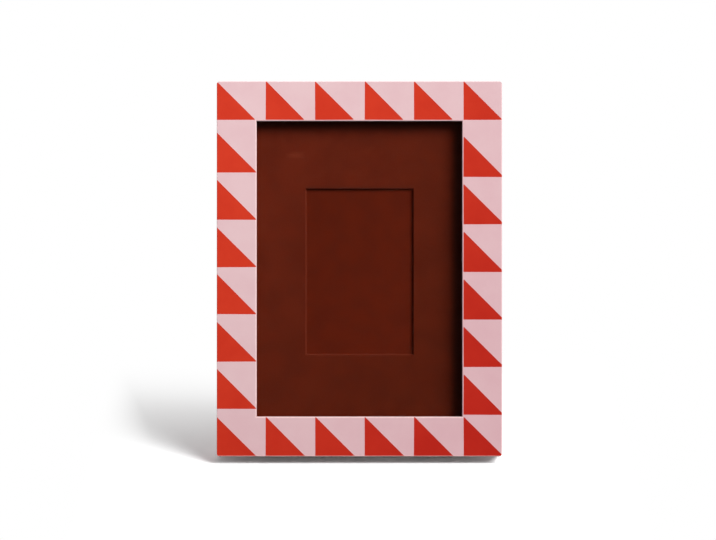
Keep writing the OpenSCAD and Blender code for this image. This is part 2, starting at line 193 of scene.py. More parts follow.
def fade(tree, value, start, end):
    """A soft step from 0 at the start to 1 at the end: 3 t^2 - 2 t^3."""
    inputs = {"Value": value, "From Min": start, "From Max": end}
    return node(tree, "ShaderNodeMapRange", inputs, interpolation_type="SMOOTHSTEP").outputs[0]


def parts_of(tree, vector):
    """The X, Y and Z of a vector."""
    return node(tree, "ShaderNodeSeparateXYZ", {0: vector}).outputs


def mixed(tree, share, first, second, blend_type="MIX"):
    """The first colour where the share is 0 and the second where it is 1."""
    inputs = {MIX_SHARE: share, MIX_FIRST_COLOUR: first, MIX_SECOND_COLOUR: second}
    made = node(tree, "ShaderNodeMix", inputs, data_type="RGBA", blend_type=blend_type)
    return made.outputs[MIX_RESULT]


def tinted(tree, share, colour, tint):
    """The colour where the share is 0, and the colour multiplied by the tint where it is 1."""
    return mixed(tree, share, colour, tint, blend_type="MULTIPLY")


def mixed_shaders(tree, share, first, second):
    """The first shader where the share is 0 and the second where it is 1."""
    return node(tree, "ShaderNodeMixShader", {0: share, 1: first, 2: second}).outputs[0]


print("middle grey as light:", round(srgb(128, 128, 128)[0], 3))

# %% [markdown]
# ## The table
# A studio shot on white has a pale table that runs out of sight. Here it is a wide disc. Close to the
# frame the camera sees plain white paint with the frame's shadow on it, and further out the same
# white as the backdrop. Real white paint passes light back and forth under the frame's raised front
# edge. This table sends back little, so that the opening keeps its dark edges, and its paint is
# lighter under the frame to make up for that.

# %% Lay the table
TABLE_RADIUS = 1.6
TABLE_RINGS = 12
TABLE_SPOKES = 96


def bands_between(rings, spokes):
    """Quads between neighbouring rings of n points: point j of ring i has the number 1 + i n + j."""
    here = np.arange(spokes)
    after = (here + 1) % spokes
    inner = 1 + spokes * np.arange(rings - 1)[:, None]
    outer = inner + spokes
    corners = [inner + here, outer + here, outer + after, inner + after]
    return np.stack(corners, -1).reshape(-1, 4).tolist()


def made_object(name, points, faces):
    """A mesh object of points and faces, linked to the scene."""
    mesh = bpy.data.meshes.new(name)
    mesh.from_pydata(points.tolist(), [], faces)
    made = bpy.data.objects.new(name, mesh)
    bpy.context.scene.collection.objects.link(made)
    return made


def disc(name, radius, rings, spokes):
    """A disc round one middle point: ring i has the radius R i / n, and spoke j the angle 2 pi j / m."""
    radii = np.arange(1, rings + 1) / rings * radius
    angles = np.arange(spokes) / spokes * 2 * math.pi
    r, a = np.meshgrid(radii, angles, indexing="ij")
    ring_points = np.stack([r * np.cos(a), r * np.sin(a), 0 * r], -1).reshape(-1, 3)
    here = np.arange(spokes)
    fan = np.stack([0 * here, 1 + here, 1 + (here + 1) % spokes], -1).tolist()
    points = np.concatenate([np.zeros((1, 3)), ring_points])
    return made_object(name, points, fan + bands_between(rings, spokes))


table = disc("table", TABLE_RADIUS, TABLE_RINGS, TABLE_SPOKES)
print("faces of the table:", len(table.data.polygons))

# %% [markdown]
# The two kinds of white are one material, mixed by where a point lies on the table: to the side, in
# front of the frame or behind it. Each pair of numbers says where one fade starts and where it ends.

# %% Paint the table
PAINT_SEEN = (1.4, 1.425, 1.425, 1.0)
PAINT_UNDER = (2.45, 3.05, 2.95, 1.0)
PAINT_BOUNCE = (0.1, 0.1, 0.1, 1.0)
UNDER_FRONT = (0.008, 0.013)
UNDER_BACK = (-0.001, 0.0005)
UNDER_SIDE = (0.056, 0.072)
FADE_BACK = (-0.098, 0.157)
FADE_PAST_SIDE = (0.05, 0.083)
FADE_SIDE = (0.1, 0.161)
FADE_FAR = (0.2, 0.35)


def seen_directly(tree):
    """1 for what the camera, a mirror or glass sees, 0 for light on its way to another surface."""
    path = node(tree, "ShaderNodeLightPath")
    seen = maths(tree, "MAXIMUM", path.outputs["Is Camera Ray"], path.outputs["Is Glossy Ray"])
    return maths(tree, "MAXIMUM", seen, path.outputs["Is Transmission Ray"])


paint = bpy.data.materials.new("table paint")
paint.use_nodes = True
tree = paint.node_tree
tree.nodes.clear()
place = parts_of(tree, node(tree, "ShaderNodeTexCoord").outputs["Object"])
sideways = maths(tree, "ABSOLUTE", place["X"])
past_side = fade(tree, sideways, *FADE_PAST_SIDE)
behind = maths(tree, "MULTIPLY", fade(tree, place["Y"], *FADE_BACK), past_side)
far_back = fade(tree, place["Y"], *FADE_FAR)
far_front = fade(tree, maths(tree, "MULTIPLY", place["Y"], -1.0), *FADE_FAR)
far_aside = fade(tree, sideways, *FADE_SIDE)
far = maths(tree, "MAXIMUM", far_aside, maths(tree, "MAXIMUM", far_back, far_front))
far = maths(tree, "MAXIMUM", far, behind)

before_edge = maths(tree, "SUBTRACT", from_bench(0, frame_size[1], 0).y, place["Y"])
past_front = fade(tree, before_edge, *UNDER_FRONT)
under = maths(tree, "SUBTRACT", fade(tree, before_edge, *UNDER_BACK), past_front)
under = maths(tree, "MULTIPLY", under, rest_of(tree, fade(tree, sideways, *UNDER_SIDE)))

shade = mixed(tree, under, PAINT_SEEN, PAINT_UNDER)
white_paint = node(tree, "ShaderNodeBsdfDiffuse", {"Color": shade}).outputs[0]
backdrop_white = node(tree, "ShaderNodeEmission", {"Color": WHITE, "Strength": 1.0}).outputs[0]
seen_paint = mixed_shaders(tree, far, white_paint, backdrop_white)
unseen_paint = node(tree, "ShaderNodeBsdfDiffuse", {"Color": PAINT_BOUNCE}).outputs[0]
either = mixed_shaders(tree, seen_directly(tree), unseen_paint, seen_paint)
node(tree, "ShaderNodeOutputMaterial", {"Surface": either})
table.data.materials.append(paint)
print("nodes in the table's paint:", len(tree.nodes))

# %% [markdown]
# ## The light
# The shadow falls to the left and behind the frame, and lies under the top and right edges of the
# opening, so one large softbox hangs in front, to the right and above. The face is a little brighter
# at its upper left, as it is beside a small lamp, which is kept off the table, the rails, the mat and
# the card in its window. The left side and the back would be dark without two white panels that send
# them some light. The panels are kept off the table too, so that it keeps the single shadow of the
# picture.

# %% Light the room
ROOM_LEVEL = 0.216

world = bpy.data.worlds.new("room")
bpy.context.scene.world = world
world.use_nodes = True
tree = world.node_tree
tree.nodes.clear()
room = node(tree, "ShaderNodeBackground", {"Color": WHITE, "Strength": ROOM_LEVEL}).outputs[0]
backdrop = node(tree, "ShaderNodeBackground", {"Color": WHITE, "Strength": 1.0}).outputs[0]
either = mixed_shaders(tree, seen_directly(tree), room, backdrop)
node(tree, "ShaderNodeOutputWorld", {"Surface": either})


def softbox(name, azimuth, elevation, away, wide, high, level):
    """A soft light at (sin a cos e, -cos a cos e, sin e) times its distance from the face's middle.
    Its power is pi^2 d^2 times the level: white paper held square to it shows that share of white."""
    a = math.radians(azimuth)
    e = math.radians(elevation)
    toward = Vector((math.sin(a) * math.cos(e), -math.cos(a) * math.cos(e), math.sin(e)))
    lamp = bpy.data.lights.new(name, "AREA")
    lamp.shape = "RECTANGLE"
    lamp.size = wide
    lamp.size_y = high
    lamp.energy = math.pi**2 * away**2 * level
    hung = bpy.data.objects.new(name, lamp)
    bpy.context.scene.collection.objects.link(hung)
    hung.location = face_middle + toward * away
    hung.rotation_mode = "QUATERNION"
    hung.rotation_quaternion = (-toward).to_track_quat("-Z", "Y")
    hung.visible_camera = False
    return hung


def keep_off(lamp, names):
    """Leaves some objects out of what a lamp lights; everything else it lights as before."""
    left_out = bpy.data.collections.new(lamp.name + "_keeps_off")
    for name in names:
        left_out.objects.link(bpy.data.objects[name])
    for row in left_out.collection_objects:
        row.light_linking.link_state = "EXCLUDE"
    lamp.light_linking.receiver_collection = left_out


softbox("key_softbox", azimuth=62.8, elevation=44.5, away=3.5, wide=1.81, high=2.45, level=1.4)
near_lamp = softbox("near_lamp", azimuth=-45, elevation=45, away=0.5, wide=0.2, high=0.2, level=0.16)
back_card = softbox("back_card", azimuth=155, elevation=10, away=1.6, wide=1.2, high=0.6, level=0.62)
side_card = softbox("side_card", azimuth=-105, elevation=10, away=1.6, wide=1.2, high=0.6, level=0.4)
keep_off(near_lamp, ["table", *RAILS, "mat_board", "insert_card"])
for panel in (back_card, side_card):
    panel.visible_glossy = False
    keep_off(panel, ["table"])

# %% [markdown]
# ## Finishes
# A finish is put together from effects that several pieces share: edge wear with painted rim
# highlights, a painted shade across the face, cast resin, lacquer, paper, flock and drawn metal. Each
# effect is a node group, made once, that puts out colours, masks and heights. The shader stays in the
# material, where the values that are the same all over are set on its own sockets. All patterns are
# read in the piece's own axes, so they stay on it when it leans or folds.

# %% Helpers for finishes


def finish_for(name):
    """A new material whose tree is emptied down to one Principled shader and its output."""
    made = bpy.data.materials.new(name)
    made.use_nodes = True
    tree = made.node_tree
    tree.nodes.clear()
    shader = node(tree, "ShaderNodeBsdfPrincipled")
    node(tree, "ShaderNodeOutputMaterial", {"Surface": shader.outputs[0]})
    return made, tree, shader


def dress(names, material):
    """Gives solids a finish as their only material."""
    for name in names:
        solids[name].data.materials.clear()
        solids[name].data.materials.append(material)


def own_axes(tree, lean=LEAN, foot=frame_foot):
    """Object coordinates turned back by the lean, with the foot at zero: across, deep and high."""
    coords = node(tree, "ShaderNodeTexCoord").outputs["Object"]
    inputs = {"Vector": coords, "Location": (-foot).tolist(), "Rotation": (lean, 0, 0)}
    return node(tree, "ShaderNodeMapping", inputs).outputs[0]


print("the frame's foot on the bench, in mm:", (1000 * frame_foot).round(2))

# %% [markdown]
# A pattern starts from a point's position: how far it lies from something, or how a noise varies
# there. The result is then spread over a range of colours or roughnesses, or raised as a relief.

# %% Helpers for patterns
NOISE_SPAN = (0.3, 0.7)


def vectors(tree, operation, *values):
    """One step on vectors; the result's socket."""
    return node(tree, "ShaderNodeVectorMath", enumerate(values), operation=operation).outputs["Vector"]


def distances(tree, position, middle):
    """How far a position lies from a middle across, deep and high, whichever way."""
    return vectors(tree, "ABSOLUTE", vectors(tree, "SUBTRACT", position, middle))


def length_of(tree, vector):
    """The length of a vector."""
    return node(tree, "ShaderNodeVectorMath", {0: vector}, operation="LENGTH").outputs["Value"]


def noise(tree, position, scale=1.0, detail=2.0, roughness=0.5, squeeze=None):
    """Soft noise, mostly inside NOISE_SPAN: so many lumps to the metre, or so many along each axis."""
    if squeeze is not None:
        position = vectors(tree, "MULTIPLY", position, squeeze)
    inputs = {"Vector": position, "Scale": scale, "Detail": detail, "Roughness": roughness}
    return node(tree, "ShaderNodeTexNoise", inputs).outputs[0]


def spread(tree, value, low, high, to_low, to_high):
    """Carries a value from one range to another and stops at its ends."""
    inputs = {"Value": value, "From Min": low, "From Max": high, "To Min": to_low, "To Max": to_high}
    return node(tree, "ShaderNodeMapRange", inputs).outputs[0]


def raised(tree, height, distance, normal=None):
    """A normal that tilts with the height; the distance is how high a height of 1 stands."""
    inputs = {"Height": height, "Distance": distance}
    if normal is not None:
        inputs["Normal"] = normal
    return node(tree, "ShaderNodeBump", inputs).outputs[0]


print("most of a noise lies between", *NOISE_SPAN)

# %% [markdown]
# ### Effects
# A node group is a small tree with named sockets on its outside. Each input starts with a plain
# value, and every material that places the group links or sets the inputs that it needs.

# %% Helpers for effects
GREY = (0.5, 0.5, 0.5, 1.0)
ZERO = (0.0, 0.0, 0.0)


def socket_kind(start):
    """The kind of socket for a starting value: four numbers are a colour and three are a vector."""
    if not isinstance(start, tuple):
        return "NodeSocketFloat"
    return "NodeSocketColor" if len(start) == 4 else "NodeSocketVector"


def effect(name, inputs, outputs):
    """Starts a node group: its inputs with their starting values, and its outputs with their types."""
    made = bpy.data.node_groups.new(name, "ShaderNodeTree")
    for label, start in inputs.items():
        socket = made.interface.new_socket(label, in_out="INPUT", socket_type=socket_kind(start))
        socket.default_value = start
    for label, kind in outputs.items():
        made.interface.new_socket(label, in_out="OUTPUT", socket_type="NodeSocket" + kind)
    return made, node(made, "NodeGroupInput").outputs


def put_out(made, **results):
    """Links an effect's results to its named outputs."""
    node(made, "NodeGroupOutput", results)
    print("effect:", made.name)


def placed(tree, made, **inputs):
    """Places an effect in a material with its own values; its outputs."""
    return node(tree, "ShaderNodeGroup", inputs, node_tree=made).outputs


print("kinds of socket:", socket_kind(GREY), socket_kind(ZERO), socket_kind(0.0))

# %% [markdown]
# ### Rubbed edges and painted rim highlights
# Hands and cloths wear a finish first where two faces meet. On a box, the distances to its three
# pairs of faces tell a surface point where it is: the largest is always zero, and the second largest
# comes near zero at an edge. For the rim of an opening, the distance to the opening's outline in the
# plane of the face does the same, and there it places a painted highlight rather than wear. Small
# chips make both kinds of edge ragged.

# %% Build the edge effects
CHIP_SCALE = 650
BOX_INPUTS = {"Position": ZERO, "Middle": ZERO, "Half": ZERO, "Width": 0.001, "Ragged": 0.001}


def chipped(tree, distance, given):
    """A distance that small chips carry further or less far, by up to half of Ragged."""
    chips = noise(tree, given["Position"], CHIP_SCALE, detail=3.0, roughness=0.6)
    return maths(tree, "MULTIPLY_ADD", maths(tree, "SUBTRACT", chips, 0.5), given["Ragged"], distance)


edge_wear, given = effect("Edge Wear", BOX_INPUTS, {"Mask": "Float"})
from_middle = distances(edge_wear, given["Position"], given["Middle"])
bx, by, bz = parts_of(edge_wear, vectors(edge_wear, "SUBTRACT", from_middle, given["Half"]))
largest = maths(edge_wear, "MAXIMUM", maths(edge_wear, "MAXIMUM", bx, by), bz)
smallest = maths(edge_wear, "MINIMUM", maths(edge_wear, "MINIMUM", bx, by), bz)
total = maths(edge_wear, "ADD", maths(edge_wear, "ADD", bx, by), bz)
second = maths(edge_wear, "SUBTRACT", maths(edge_wear, "SUBTRACT", total, largest), smallest)
start = maths(edge_wear, "MULTIPLY", given["Width"], -1.0)
put_out(edge_wear, Mask=fade(edge_wear, chipped(edge_wear, second, given), start, 0.0))

# This mask places a painted highlight on the rims of the opening.
rim_highlight, given = effect("Rim Highlight", BOX_INPUTS, {"Mask": "Float"})
from_middle = distances(rim_highlight, given["Position"], given["Middle"])
beyond = vectors(rim_highlight, "MAXIMUM", vectors(rim_highlight, "SUBTRACT", from_middle, given["Half"]), ZERO)
away = chipped(rim_highlight, length_of(rim_highlight, beyond), given)
put_out(rim_highlight, Mask=rest_of(rim_highlight, fade(rim_highlight, away, 0.0, given["Width"])))

# %% [markdown]
# ### Painted shade
# The red, the pink and the mat are painted a little paler at the upper left of the frame and deeper at
# its lower right, by more than the lamps explain: painted shade, for light that falls off across the
# face. The mask grows along that diagonal, and a finish multiplies its colour by a tint where the mask
# is 1.

# %% Build the painted shade effect
painted_shade_effect, given = effect(
    "Painted Shade Gradient",
    {"Position": ZERO, "Middle": ZERO, "Half": ZERO, "Start": 0.2, "End": 1.0},
    {"Kept": "Float"},
)
from_middle = vectors(painted_shade_effect, "SUBTRACT", given["Position"], given["Middle"])
share = parts_of(painted_shade_effect, vectors(painted_shade_effect, "DIVIDE", from_middle, given["Half"]))
slant = maths(painted_shade_effect, "SUBTRACT", share["X"], share["Z"])
# The slant runs from -2 to 2, from one corner to the other, and is carried to 0 to 1.
along = maths(painted_shade_effect, "MULTIPLY_ADD", slant, 0.25, 0.5)
put_out(painted_shade_effect, Kept=fade(painted_shade_effect, along, given["Start"], given["End"]))

# %% [markdown]
# ### Cast resin and lacquer
# The face is a thin sheet of pink resin with red resin set into it. Cast resin is never quite even:
# pigment drifts into soft clouds and leaves fine specks, and the sanding that levels both colours
# leaves a faint ripple. The lacquer on the rails is sprayed, and dries to the shallow dimples known
# as orange peel.

# %% Build the resin and lacquer effects
CLOUD_SCALE = 38
CLOUD_FADE = (0.35, 0.68)
SPECK_SCALE = 2300
SPECK_FADE = (0.66, 0.76)
SPECK_SHARE = 0.5
RIPPLE_SCALE = 150
SANDING_STROKES = (2400.0, 2400.0, 500.0)
SANDING_HEIGHT = 0.12
PEEL_SCALE = 520
COAT_SCALE = 30
COAT_FADE = (0.38, 0.75)

cast_resin, given = effect(
    "Cast Resin",
    {"Position": ZERO, "Colour": GREY, "Cloud": GREY, "Speck": GREY},
    {"Colour": "Color", "Height": "Float", "Dullness": "Float"},
)
drift = noise(cast_resin, given["Position"], CLOUD_SCALE, detail=4.0, roughness=0.6)
clouded = mixed(cast_resin, fade(cast_resin, drift, *CLOUD_FADE), given["Colour"], given["Cloud"])
dots = fade(cast_resin, noise(cast_resin, given["Position"], SPECK_SCALE, detail=1.0), *SPECK_FADE)
specked = mixed(cast_resin, maths(cast_resin, "MULTIPLY", dots, SPECK_SHARE), clouded, given["Speck"])
ripple = noise(cast_resin, given["Position"], RIPPLE_SCALE)
sanding = noise(cast_resin, given["Position"], detail=4.0, roughness=0.6, squeeze=SANDING_STROKES)
height = maths(cast_resin, "MULTIPLY_ADD", sanding, SANDING_HEIGHT, ripple)
put_out(cast_resin, Colour=specked, Height=height, Dullness=sanding)

lacquer, given = effect(
    "Lacquer",
    {"Position": ZERO, "Colour": GREY, "Thin": GREY},
    {"Colour": "Color", "Height": "Float", "Dullness": "Float"},
)
peel = noise(lacquer, given["Position"], PEEL_SCALE, roughness=0.45)
coat = noise(lacquer, given["Position"], COAT_SCALE, detail=3.0)
coated = mixed(lacquer, fade(lacquer, coat, *COAT_FADE), given["Colour"], given["Thin"])
put_out(lacquer, Colour=coated, Height=peel, Dullness=coat)

# %% [markdown]
# ### Paper, board and flock
# Mat paper, card and fibreboard are felted fibres: short hairs that lie along each other in every
# direction, so two noises drawn out across and upwards make them, and a broad one darkens soft
# patches where the pulp lay thicker. Flock is a coat of upright fibres. It looks like fine grain
# close by, and like soft darker and lighter strokes from further off, where the pile has been pushed
# over.

# %% Build the fibre effects
LYING_FIBRES = (700.0, 2600.0, 2600.0)
STANDING_FIBRES = (2600.0, 2600.0, 700.0)
HAIR_FADE = (0.48, 0.75)
HAIR_SHARE = 0.55
BLOT_SCALE = 240
BLOT_FADE = (0.35, 0.7)
BLOT_SHARE = 0.45
PULP_SCALE = 75
PULP_FADE = (0.35, 0.65)
PULP_TINT = (0.8, 0.8, 0.8, 1.0)
PILE_SCALE = 2400
PUSHED_STROKES = (48.0, 48.0, 34.0)
STROKE_FADE = (0.3, 0.72)
STROKE_SHARE = 0.5
PILE_SHARES = (-0.35, 0.45)

felted, given = effect(
    "Felted Fibre",
    {"Position": ZERO, "Colour": GREY, "Fibre": GREY, "Size": 1.0, "Patchy": 0.8},
    {"Colour": "Color", "Height": "Float"},
)
inputs = {0: given["Position"], "Scale": given["Size"]}
sized = node(felted, "ShaderNodeVectorMath", inputs, operation="SCALE").outputs["Vector"]
lying = noise(felted, sized, detail=3.0, roughness=0.6, squeeze=LYING_FIBRES)
standing = noise(felted, sized, detail=3.0, roughness=0.6, squeeze=STANDING_FIBRES)
hairs = fade(felted, maths(felted, "MAXIMUM", lying, standing), *HAIR_FADE)
blots = fade(felted, noise(felted, sized, BLOT_SCALE, detail=4.0, roughness=0.6), *BLOT_FADE)
blots = maths(felted, "MULTIPLY", blots, BLOT_SHARE)
share = maths(felted, "ADD", maths(felted, "MULTIPLY", hairs, HAIR_SHARE), blots)
haired = mixed(felted, share, given["Colour"], given["Fibre"])
thicker = fade(felted, noise(felted, sized, PULP_SCALE, detail=4.0, roughness=0.6), *PULP_FADE)
thicker = maths(felted, "MULTIPLY", thicker, given["Patchy"])
put_out(felted, Colour=tinted(felted, thicker, haired, PULP_TINT), Height=hairs)

flock, given = effect(
    "Flock",
    {"Position": ZERO, "Colour": GREY, "Brushed": GREY},
    {"Colour": "Color", "Height": "Float"},
)
pile = noise(flock, given["Position"], PILE_SCALE, detail=3.0, roughness=0.7)
strokes = noise(flock, given["Position"], detail=3.0, squeeze=PUSHED_STROKES)
share = maths(flock, "MULTIPLY", fade(flock, strokes, *STROKE_FADE), STROKE_SHARE)
share = maths(flock, "ADD", spread(flock, pile, *NOISE_SPAN, *PILE_SHARES), share, clamp=True)
put_out(flock, Colour=mixed(flock, share, given["Colour"], given["Brushed"]), Height=pile)

# %% [markdown]
# ### Drawn metal
# The hinge, rivets, screws and turn buttons are stamped from nickel-plated steel strip. The rollers
# leave fine lines along the strip, and the plating clouds over in patches, which shows more in its
# gloss than its colour.

# %% Build the metal effect
ROLLED_LINES = (9000.0, 9000.0, 180.0)
PATCH_SCALE = 110
PATCH_FADE = (0.35, 0.72)
COLOUR_SHARES = {"lines": 0.3, "patches": 0.4}
GLOSS_SHARES = {"lines": 0.5, "patches": 0.25}
GLOSS_SPAN = (0.1, 0.8)

drawn_metal, given = effect(
    "Drawn Metal",
    {"Position": ZERO, "Colour": GREY, "Tarnish": GREY, "Smooth": 0.2, "Rough": 0.4},
    {"Colour": "Color", "Roughness": "Float", "Height": "Float"},
)
rolled = noise(drawn_metal, given["Position"], detail=4.0, roughness=0.7, squeeze=ROLLED_LINES)
clouded = noise(drawn_metal, given["Position"], PATCH_SCALE, detail=3.0)
clouded = fade(drawn_metal, clouded, *PATCH_FADE)


def together(lines, patches):
    """A share of the rolled lines and a share of the clouded patches, added up and kept under 1."""
    patches = maths(drawn_metal, "MULTIPLY", clouded, patches)
    return maths(drawn_metal, "MULTIPLY_ADD", rolled, lines, patches, clamp=True)


plated = mixed(drawn_metal, together(**COLOUR_SHARES), given["Colour"], given["Tarnish"])
dull = spread(drawn_metal, together(**GLOSS_SHARES), *GLOSS_SPAN, given["Smooth"], given["Rough"])
put_out(drawn_metal, Colour=plated, Roughness=dull, Height=rolled)

# %% [markdown]
# ### The rails
# The rails behind the face are wood under lacquer, a shade deeper than the face's pink. The whole
# outline, which hands touch, wears a little paler. The left and bottom rims of the opening, which face
# the softbox, are painted paler as a highlight. Both boxes are read from the solids, so these marks
# stay on them. Across each mitred corner the lacquer has sunk into a hairline. A point is on it where
# it is as far from the frame's side as from its top or bottom.

# %% Measure the outline and the opening
RIM_REACH = 0.0002
outline_middle = (0.0, frame_size[1] / 2, frame_size[2] / 2)
outline_half = tuple(frame_size / 2)
opening_right = corners_of(["right_rail"], LEAN)[0][0]
opening_bottom = corners_of(["bottom_rail"], LEAN)[1][2] - frame_foot[2]
opening_top = corners_of(["top_rail"], LEAN)[0][2] - frame_foot[2]
rim_middle = (0.0, 0.0, (opening_bottom + opening_top) / 2)
rim_half = (opening_right, 0.0, (opening_top - opening_bottom) / 2)
print("opening across and high in mm:", round(2000 * rim_half[0], 2), round(2000 * rim_half[2], 2))


def outline_wear_rim_highlight(tree, position, width, ragged, outline_share, rim_share):
    """How far the frame's outline wears paler, and how far the left and bottom rims of its opening carry
    a painted highlight.
    """
    shared = {"Position": position, "Width": width, "Ragged": ragged}
    outside = placed(tree, edge_wear, Middle=outline_middle, Half=outline_half, **shared)["Mask"]
    inside = placed(tree, rim_highlight, Middle=rim_middle, Half=rim_half, **shared)["Mask"]
    place = parts_of(tree, position)
    left = maths(tree, "LESS_THAN", place["X"], RIM_REACH - rim_half[0])
    bottom = maths(tree, "LESS_THAN", place["Z"], rim_middle[2] - rim_half[2] + RIM_REACH)
    # Only the left and bottom rims, which face the softbox, get the painted highlight.
    rims = maths(tree, "MULTIPLY", maths(tree, "MAXIMUM", left, bottom), rim_share)
    outside = maths(tree, "MULTIPLY", outside, outline_share)
    return maths(tree, "MAXIMUM", outside, maths(tree, "MULTIPLY", inside, rims))


# %% Finish the rails
LACQUER = srgb(225, 187, 190)
LACQUER_THIN = srgb(221, 180, 184)
# Pale edge colour: wear along the outline, and a painted highlight on the left and bottom rims.
LACQUER_PALE_EDGE = srgb(236, 208, 208)
LACQUER_SUNK = srgb(146, 100, 102)
LACQUER_ROUGH = (0.3, 0.38)
LACQUER_EDGE_MARKS = {"width": 0.0011, "ragged": 0.0016, "outline_share": 0.5, "rim_share": 0.5}
PALE_EDGE_ROUGHER = 0.24
PEEL_DEEP = 0.00003
HAIRLINE = 0.00012
HAIRLINE_SOFT = 0.0003
SUNK_SHARE = 0.6

lacquered, tree, shader = finish_for("pink lacquer")
position = own_axes(tree)
coat = placed(tree, lacquer, Position=position, Colour=LACQUER, Thin=LACQUER_THIN)
paler_edges = outline_wear_rim_highlight(tree, position, **LACQUER_EDGE_MARKS)
paled = mixed(tree, paler_edges, coat["Colour"], LACQUER_PALE_EDGE)
from_middle = distances(tree, position, outline_middle)
past = parts_of(tree, vectors(tree, "SUBTRACT", from_middle, outline_half))
off_mitre = maths(tree, "ABSOLUTE", maths(tree, "SUBTRACT", past["X"], past["Z"]))
sunk = rest_of(tree, fade(tree, off_mitre, HAIRLINE, HAIRLINE_SOFT))
dull = spread(tree, coat["Dullness"], *NOISE_SPAN, *LACQUER_ROUGH)
lacquer_look = {
    "Base Color": mixed(tree, maths(tree, "MULTIPLY", sunk, SUNK_SHARE), paled, LACQUER_SUNK),
    "Roughness": maths(tree, "MULTIPLY_ADD", paler_edges, PALE_EDGE_ROUGHER, dull),
    "Normal": raised(tree, maths(tree, "SUBTRACT", coat["Height"], sunk), PEEL_DEEP),
    "Specular IOR Level": 0.35,
}
fill(tree, shader, lacquer_look)
dress(RAILS, lacquered)
print("rails finished:", len(RAILS))

# %% [markdown]
# ### The resin face
# The pink sheet and the red triangles are sanded level and buffed to a soft sheen, so they share a
# finish and differ in pigment. Their edges are rounded over, and a little paler there. Along the
# outline that is wear. Along the left and bottom rims of the opening, which face the softbox, it is a
# painted highlight, a thin bright line. The colour is paler along the bottom edge too. The face also
# carries a painted shade, deeper towards its lower right.

# %% Mix the resin
BUFFED_ROUGH = (0.36, 0.46)
BUFFED_ROUGHER = 0.2
# Pale edges: wear along the outline, a painted highlight on the left and bottom rims, a paler bottom
# edge.
FACE_EDGE_MARKS = {"width": 0.0009, "ragged": 0.001}
FACE_PALE_EDGE = srgb(255, 222, 219)
# Where the painted shade starts and ends along the diagonal of the face.
FACE_PAINTED_SHADE = {"Start": 0.2, "End": 1.0}
FOOT_LINE = (0.0002, 0.0007)
FOOT_SHARE = 0.7
RIPPLE_DEEP = 0.00002


def with_painted_shade(tree, position, colour, tint, reach):
    """A colour with painted shade: whole at the upper left, and multiplied by the tint at the lower
    right.
    """
    box = {"Middle": outline_middle, "Half": outline_half}
    kept = placed(tree, painted_shade_effect, Position=position, **box, **reach)["Kept"]
    return tinted(tree, kept, colour, tint)


def resin(name, colour, cloud, speck, tint, pale_edge_colour, pale_edge_shares):
    """Cast and buffed resin in one colour, with painted shade, paler edges and a painted rim highlight.
    """
    made, tree, shader = finish_for(name)
    position = own_axes(tree)
    cast = placed(tree, cast_resin, Position=position, Colour=colour, Cloud=cloud, Speck=speck)
    shaded_colour = with_painted_shade(tree, position, cast["Colour"], tint, FACE_PAINTED_SHADE)
    paler_edges = outline_wear_rim_highlight(tree, position, **FACE_EDGE_MARKS, **pale_edge_shares)
    paled = mixed(tree, paler_edges, shaded_colour, pale_edge_colour)
    at_foot = rest_of(tree, fade(tree, parts_of(tree, position)["Z"], *FOOT_LINE))
    dull = spread(tree, cast["Dullness"], *NOISE_SPAN, *BUFFED_ROUGH)
    look = {
        "Base Color": mixed(tree, maths(tree, "MULTIPLY", at_foot, FOOT_SHARE), paled, FACE_PALE_EDGE),
        "Roughness": maths(tree, "MULTIPLY_ADD", paler_edges, BUFFED_ROUGHER, dull),
        "Normal": raised(tree, cast["Height"], RIPPLE_DEEP),
        "Specular IOR Level": 0.15,
    }
    fill(tree, shader, look)
    return made


# %% Finish the face
INLAYS = ["top_inlay", "bottom_inlay", "left_inlay", "right_inlay"]
# Each tint is painted shade, multiplied in towards the lower right of the frame.
pink_resin = resin(
    "pink resin",
    colour=srgb(233, 198, 201),
    cloud=srgb(230, 192, 196),
    speck=srgb(216, 170, 172),
    tint=(0.95, 0.87, 0.895, 1.0),
    pale_edge_colour=FACE_PALE_EDGE,
    pale_edge_shares={"outline_share": 0.2, "rim_share": 0.9},
)
red_resin = resin(
    "red resin",
    colour=srgb(213, 57, 32),
    cloud=srgb(207, 51, 28),
    speck=srgb(184, 38, 23),
    tint=(0.77, 0.41, 0.54, 1.0),
    pale_edge_colour=srgb(222, 80, 58),
    pale_edge_shares={"outline_share": 0.4, "rim_share": 0.4},
)
dress(["resin_face"], pink_resin)
dress(INLAYS, red_resin)
print("face finished, with rows of triangles:", len(INLAYS))

# %% [markdown]
# ### Mat, card and filler
# The mat is thick maroon paper board with a window cut at a slope, which shows the board's duller
# core. A faint paler patch lies at its upper left. Its colour is painted deeper towards the lower
# right, as painted shade. Behind the window lies a plain card of nearly the same colour, and behind
# that a grey filler board takes up the depth.

# %% Mix the papers
PAPER_ROUGH = (0.86, 0.95)


def paper(name, colour, fibre, size=1.0, relief=0.00003):
    """Felted paper in one colour; its material, tree, shader, position and colour, to add to."""
    made, tree, shader = finish_for(name)
    position = own_axes(tree)
    fibres = placed(tree, felted, Position=position, Colour=colour, Fibre=fibre, Size=size)
    look = {
        "Base Color": fibres["Colour"],
        "Roughness": spread(tree, fibres["Height"], 0.0, 1.0, *PAPER_ROUGH),
        "Normal": raised(tree, fibres["Height"], relief),
        "Specular IOR Level": 0.03,
    }
    fill(tree, shader, look)
    return made, tree, shader, position, fibres["Colour"]


plain_card = paper("card", srgb(104, 30, 11), srgb(109, 35, 15), size=1.4, relief=0.00002)[0]
grey_board = paper("grey filler board", srgb(150, 140, 128), srgb(176, 168, 156), size=0.7)[0]
fibreboard = paper("fibreboard", srgb(96, 66, 44), srgb(124, 90, 62), size=0.6, relief=0.00006)[0]
dress(["insert_card"], plain_card)
dress(["filler_board"], grey_board)
dress(["back_board"], fibreboard)
print("card, filler and back board finished")

